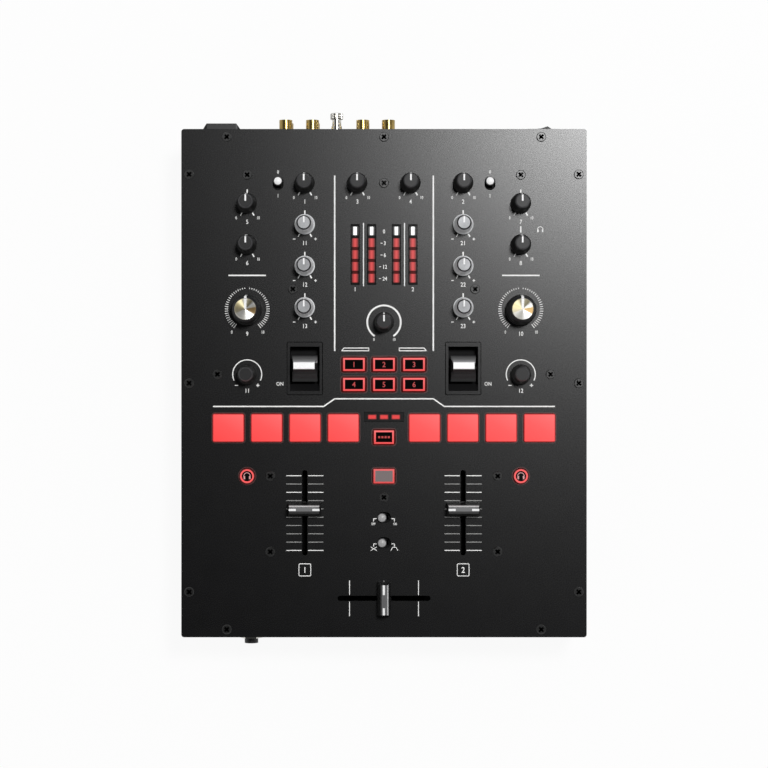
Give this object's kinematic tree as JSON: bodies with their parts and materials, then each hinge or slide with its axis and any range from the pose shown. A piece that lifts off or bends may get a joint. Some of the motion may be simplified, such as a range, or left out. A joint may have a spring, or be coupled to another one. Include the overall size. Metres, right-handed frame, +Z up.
{
  "type": "dj mixer",
  "caption": "Two-channel table-top mixer with a steel case, rotary knobs, faders, effect paddles, buttons and pads on its top panel, and sockets at the rear and front.",
  "frame": {"origin": "middle of the footprint, on the surface that the feet stand on", "axes": "+X to the user's right, +Y towards the rear sockets, +Z up"},
  "size_m": [0.254, 0.3364, 0.0752],
  "materials": {
    "panel_steel": "black powder coat",
    "case_steel": "black powder coat",
    "foot_rubber": "matte",
    "screw_steel": "black oxide",
    "board": "solder mask",
    "pot_metal": "plated",
    "black_plastic": "moulded",
    "silver_plastic": "satin silver",
    "lamp_plastic": "lit red",
    "socket_plastic": "moulded",
    "steel": "turned",
    "red_plastic": "lit red rim",
    "pad_rubber": "matte, lit red",
    "white_plastic": "moulded",
    "cap_plastic": "satin",
    "chrome": "knurled"
  },
  "bodies": {
    "mixer": {"top_panel": "panel_steel", "case_tub": "case_steel", "feet": "foot_rubber", "panel_screws": "screw_steel", "circuit_boards": "board", "control_bodies": "pot_metal", "paddle_bezels": "black_plastic", "meter_lamps": "lamp_plastic", "sockets": "socket_plastic", "balanced_sockets": "socket_plastic"},
    "gain_knob_1": {"gain_knob_1": "black_plastic"},
    "treble_knob_1": {"treble_knob_1": "silver_plastic"},
    "mid_knob_1": {"mid_knob_1": "silver_plastic"},
    "bass_knob_1": {"bass_knob_1": "silver_plastic"},
    "filter_knob_1": {"filter_knob_1": "black_plastic"},
    "gain_knob_2": {"gain_knob_2": "black_plastic"},
    "treble_knob_2": {"treble_knob_2": "silver_plastic"},
    "mid_knob_2": {"mid_knob_2": "silver_plastic"},
    "bass_knob_2": {"bass_knob_2": "silver_plastic"},
    "filter_knob_2": {"filter_knob_2": "black_plastic"},
    "booth_knob": {"booth_knob": "black_plastic"},
    "master_knob": {"master_knob": "black_plastic"},
    "tone_knob": {"tone_knob": "black_plastic"},
    "mic_knob": {"mic_knob": "black_plastic"},
    "cue_mix_knob": {"cue_mix_knob": "black_plastic"},
    "phones_knob": {"phones_knob": "black_plastic"},
    "fx_knob": {"fx_knob": "black_plastic"},
    "loop_shaft_1": {"loop_shaft_1": "steel"},
    "loop_knob_1": {"loop_knob_1": "black_plastic"},
    "loop_shaft_2": {"loop_shaft_2": "steel"},
    "loop_knob_2": {"loop_knob_2": "black_plastic"},
    "fx_button_1": {"fx_button_1": "red_plastic"},
    "fx_button_2": {"fx_button_2": "red_plastic"},
    "fx_button_3": {"fx_button_3": "red_plastic"},
    "fx_button_4": {"fx_button_4": "red_plastic"},
    "fx_button_5": {"fx_button_5": "red_plastic"},
    "fx_button_6": {"fx_button_6": "red_plastic"},
    "pad_1": {"pad_1": "pad_rubber"},
    "pad_2": {"pad_2": "pad_rubber"},
    "pad_3": {"pad_3": "pad_rubber"},
    "pad_4": {"pad_4": "pad_rubber"},
    "pad_5": {"pad_5": "pad_rubber"},
    "pad_6": {"pad_6": "pad_rubber"},
    "pad_7": {"pad_7": "pad_rubber"},
    "pad_8": {"pad_8": "pad_rubber"},
    "pad_mode_button": {"pad_mode_button": "red_plastic"},
    "tap_button": {"tap_button": "red_plastic"},
    "cue_button_1": {"cue_button_1": "red_plastic"},
    "cue_button_2": {"cue_button_2": "red_plastic"},
    "input_switch_1": {"input_switch_1": "white_plastic"},
    "input_switch_2": {"input_switch_2": "white_plastic"},
    "reverse_switch": {"reverse_switch": "white_plastic"},
    "slope_switch": {"slope_switch": "white_plastic"},
    "channel_fader_1": {"channel_fader_1": "cap_plastic"},
    "channel_fader_2": {"channel_fader_2": "cap_plastic"},
    "crossfader": {"crossfader": "cap_plastic"},
    "paddle_1": {"paddle_1": "black_plastic"},
    "paddle_2": {"paddle_2": "black_plastic"},
    "power_rocker": {"power_rocker": "black_plastic"},
    "ground_screw": {"ground_screw": "chrome"}
  },
  "joints": [
    {"name": "gain_knob_1_turn", "type": "hinge", "parent": "mixer", "child": "gain_knob_1", "pos_m": [-0.0496, 0.1221, 0.057], "axis": [0, 0, -1], "range_deg": [-150, 150]},
    {"name": "treble_knob_1_turn", "type": "hinge", "parent": "mixer", "child": "treble_knob_1", "pos_m": [-0.0496, 0.0961, 0.057], "axis": [0, 0, -1], "range_deg": [-150, 150]},
    {"name": "mid_knob_1_turn", "type": "hinge", "parent": "mixer", "child": "mid_knob_1", "pos_m": [-0.0496, 0.0701, 0.057], "axis": [0, 0, -1], "range_deg": [-150, 150]},
    {"name": "bass_knob_1_turn", "type": "hinge", "parent": "mixer", "child": "bass_knob_1", "pos_m": [-0.0496, 0.0441, 0.057], "axis": [0, 0, -1], "range_deg": [-150, 150]},
    {"name": "filter_knob_1_turn", "type": "hinge", "parent": "mixer", "child": "filter_knob_1", "pos_m": [-0.0857, 0.0425, 0.057], "axis": [0, 0, -1], "range_deg": [-144, 144]},
    {"name": "gain_knob_2_turn", "type": "hinge", "parent": "mixer", "child": "gain_knob_2", "pos_m": [0.0496, 0.1221, 0.057], "axis": [0, 0, -1], "range_deg": [-150, 150]},
    {"name": "treble_knob_2_turn", "type": "hinge", "parent": "mixer", "child": "treble_knob_2", "pos_m": [0.0496, 0.0961, 0.057], "axis": [0, 0, -1], "range_deg": [-150, 150]},
    {"name": "mid_knob_2_turn", "type": "hinge", "parent": "mixer", "child": "mid_knob_2", "pos_m": [0.0496, 0.0701, 0.057], "axis": [0, 0, -1], "range_deg": [-150, 150]},
    {"name": "bass_knob_2_turn", "type": "hinge", "parent": "mixer", "child": "bass_knob_2", "pos_m": [0.0496, 0.0441, 0.057], "axis": [0, 0, -1], "range_deg": [-150, 150]},
    {"name": "filter_knob_2_turn", "type": "hinge", "parent": "mixer", "child": "filter_knob_2", "pos_m": [0.0857, 0.0425, 0.057], "axis": [0, 0, -1], "range_deg": [-144, 144]},
    {"name": "booth_knob_turn", "type": "hinge", "parent": "mixer", "child": "booth_knob", "pos_m": [-0.01665, 0.1221, 0.057], "axis": [0, 0, -1], "range_deg": [-150, 150]},
    {"name": "master_knob_turn", "type": "hinge", "parent": "mixer", "child": "master_knob", "pos_m": [0.01665, 0.1221, 0.057], "axis": [0, 0, -1], "range_deg": [-150, 150]},
    {"name": "tone_knob_turn", "type": "hinge", "parent": "mixer", "child": "tone_knob", "pos_m": [-0.0857, 0.1094, 0.057], "axis": [0, 0, -1], "range_deg": [-150, 150]},
    {"name": "mic_knob_turn", "type": "hinge", "parent": "mixer", "child": "mic_knob", "pos_m": [-0.0857, 0.0836, 0.057], "axis": [0, 0, -1], "range_deg": [-150, 150]},
    {"name": "cue_mix_knob_turn", "type": "hinge", "parent": "mixer", "child": "cue_mix_knob", "pos_m": [0.0857, 0.1094, 0.057], "axis": [0, 0, -1], "range_deg": [-150, 150]},
    {"name": "phones_knob_turn", "type": "hinge", "parent": "mixer", "child": "phones_knob", "pos_m": [0.0857, 0.0836, 0.057], "axis": [0, 0, -1], "range_deg": [-150, 150]},
    {"name": "fx_knob_turn", "type": "hinge", "parent": "mixer", "child": "fx_knob", "pos_m": [0, 0.0349, 0.057], "axis": [0, 0, -1], "range_deg": [-147, 147]},
    {"name": "loop_shaft_1_press", "type": "slide", "parent": "mixer", "child": "loop_shaft_1", "axis": [0, 0, -1], "range_m": [0, 0.0005], "stiffness_N_per_m": 600, "springref_m": -0.001},
    {"name": "loop_knob_1_turn", "type": "hinge", "parent": "loop_shaft_1", "child": "loop_knob_1", "pos_m": [-0.0857, 0.0022, 0.057], "axis": [0, 0, -1], "continuous": true},
    {"name": "loop_shaft_2_press", "type": "slide", "parent": "mixer", "child": "loop_shaft_2", "axis": [0, 0, -1], "range_m": [0, 0.0005], "stiffness_N_per_m": 600, "springref_m": -0.001},
    {"name": "loop_knob_2_turn", "type": "hinge", "parent": "loop_shaft_2", "child": "loop_knob_2", "pos_m": [0.0857, 0.0022, 0.057], "axis": [0, 0, -1], "continuous": true},
    {"name": "fx_button_1_press", "type": "slide", "parent": "mixer", "child": "fx_button_1", "axis": [0, 0, -1], "range_m": [0, 0.001], "stiffness_N_per_m": 400, "springref_m": -0.0015},
    {"name": "fx_button_2_press", "type": "slide", "parent": "mixer", "child": "fx_button_2", "axis": [0, 0, -1], "range_m": [0, 0.001], "stiffness_N_per_m": 400, "springref_m": -0.0015},
    {"name": "fx_button_3_press", "type": "slide", "parent": "mixer", "child": "fx_button_3", "axis": [0, 0, -1], "range_m": [0, 0.001], "stiffness_N_per_m": 400, "springref_m": -0.0015},
    {"name": "fx_button_4_press", "type": "slide", "parent": "mixer", "child": "fx_button_4", "axis": [0, 0, -1], "range_m": [0, 0.001], "stiffness_N_per_m": 400, "springref_m": -0.0015},
    {"name": "fx_button_5_press", "type": "slide", "parent": "mixer", "child": "fx_button_5", "axis": [0, 0, -1], "range_m": [0, 0.001], "stiffness_N_per_m": 400, "springref_m": -0.0015},
    {"name": "fx_button_6_press", "type": "slide", "parent": "mixer", "child": "fx_button_6", "axis": [0, 0, -1], "range_m": [0, 0.001], "stiffness_N_per_m": 400, "springref_m": -0.0015},
    {"name": "pad_1_press", "type": "slide", "parent": "mixer", "child": "pad_1", "axis": [0, 0, -1], "range_m": [0, 0.001], "stiffness_N_per_m": 400, "springref_m": -0.0015},
    {"name": "pad_2_press", "type": "slide", "parent": "mixer", "child": "pad_2", "axis": [0, 0, -1], "range_m": [0, 0.001], "stiffness_N_per_m": 400, "springref_m": -0.0015},
    {"name": "pad_3_press", "type": "slide", "parent": "mixer", "child": "pad_3", "axis": [0, 0, -1], "range_m": [0, 0.001], "stiffness_N_per_m": 400, "springref_m": -0.0015},
    {"name": "pad_4_press", "type": "slide", "parent": "mixer", "child": "pad_4", "axis": [0, 0, -1], "range_m": [0, 0.001], "stiffness_N_per_m": 400, "springref_m": -0.0015},
    {"name": "pad_5_press", "type": "slide", "parent": "mixer", "child": "pad_5", "axis": [0, 0, -1], "range_m": [0, 0.001], "stiffness_N_per_m": 400, "springref_m": -0.0015},
    {"name": "pad_6_press", "type": "slide", "parent": "mixer", "child": "pad_6", "axis": [0, 0, -1], "range_m": [0, 0.001], "stiffness_N_per_m": 400, "springref_m": -0.0015},
    {"name": "pad_7_press", "type": "slide", "parent": "mixer", "child": "pad_7", "axis": [0, 0, -1], "range_m": [0, 0.001], "stiffness_N_per_m": 400, "springref_m": -0.0015},
    {"name": "pad_8_press", "type": "slide", "parent": "mixer", "child": "pad_8", "axis": [0, 0, -1], "range_m": [0, 0.001], "stiffness_N_per_m": 400, "springref_m": -0.0015},
    {"name": "pad_mode_button_press", "type": "slide", "parent": "mixer", "child": "pad_mode_button", "axis": [0, 0, -1], "range_m": [0, 0.001], "stiffness_N_per_m": 400, "springref_m": -0.0015},
    {"name": "tap_button_press", "type": "slide", "parent": "mixer", "child": "tap_button", "axis": [0, 0, -1], "range_m": [0, 0.001], "stiffness_N_per_m": 400, "springref_m": -0.0015},
    {"name": "cue_button_1_press", "type": "slide", "parent": "mixer", "child": "cue_button_1", "axis": [0, 0, -1], "range_m": [0, 0.001], "stiffness_N_per_m": 400, "springref_m": -0.0015},
    {"name": "cue_button_2_press", "type": "slide", "parent": "mixer", "child": "cue_button_2", "axis": [0, 0, -1], "range_m": [0, 0.001], "stiffness_N_per_m": 400, "springref_m": -0.0015},
    {"name": "input_switch_1_slide", "type": "slide", "parent": "mixer", "child": "input_switch_1", "axis": [0, 1, 0], "range_m": [-0.0025, 0]},
    {"name": "input_switch_2_slide", "type": "slide", "parent": "mixer", "child": "input_switch_2", "axis": [0, 1, 0], "range_m": [-0.0025, 0]},
    {"name": "reverse_switch_slide", "type": "slide", "parent": "mixer", "child": "reverse_switch", "axis": [1, 0, 0], "range_m": [0, 0.0025]},
    {"name": "slope_switch_slide", "type": "slide", "parent": "mixer", "child": "slope_switch", "axis": [1, 0, 0], "range_m": [0, 0.0025]},
    {"name": "channel_fader_1_slide", "type": "slide", "parent": "mixer", "child": "channel_fader_1", "axis": [0, 1, 0], "range_m": [-0.0248, 0.0202]},
    {"name": "channel_fader_2_slide", "type": "slide", "parent": "mixer", "child": "channel_fader_2", "axis": [0, 1, 0], "range_m": [-0.0248, 0.0202]},
    {"name": "crossfader_slide", "type": "slide", "parent": "mixer", "child": "crossfader", "axis": [1, 0, 0], "range_m": [-0.0225, 0.0225]},
    {"name": "paddle_1_tilt", "type": "hinge", "parent": "mixer", "child": "paddle_1", "pos_m": [-0.0496, 0.0059, 0.0515], "axis": [1, 0, 0], "range_deg": [-14, 14]},
    {"name": "paddle_2_tilt", "type": "hinge", "parent": "mixer", "child": "paddle_2", "pos_m": [0.0496, 0.0059, 0.0515], "axis": [1, 0, 0], "range_deg": [-14, 14]},
    {"name": "power_rocker_tilt", "type": "hinge", "parent": "mixer", "child": "power_rocker", "pos_m": [0.1012, 0.15425, 0.0325], "axis": [0, 0, 1], "range_deg": [-24, 0]},
    {"name": "ground_screw_slide", "type": "slide", "parent": "mixer", "child": "ground_screw", "axis": [0, 1, 0], "range_m": [0, 0.0025]}
  ]
}
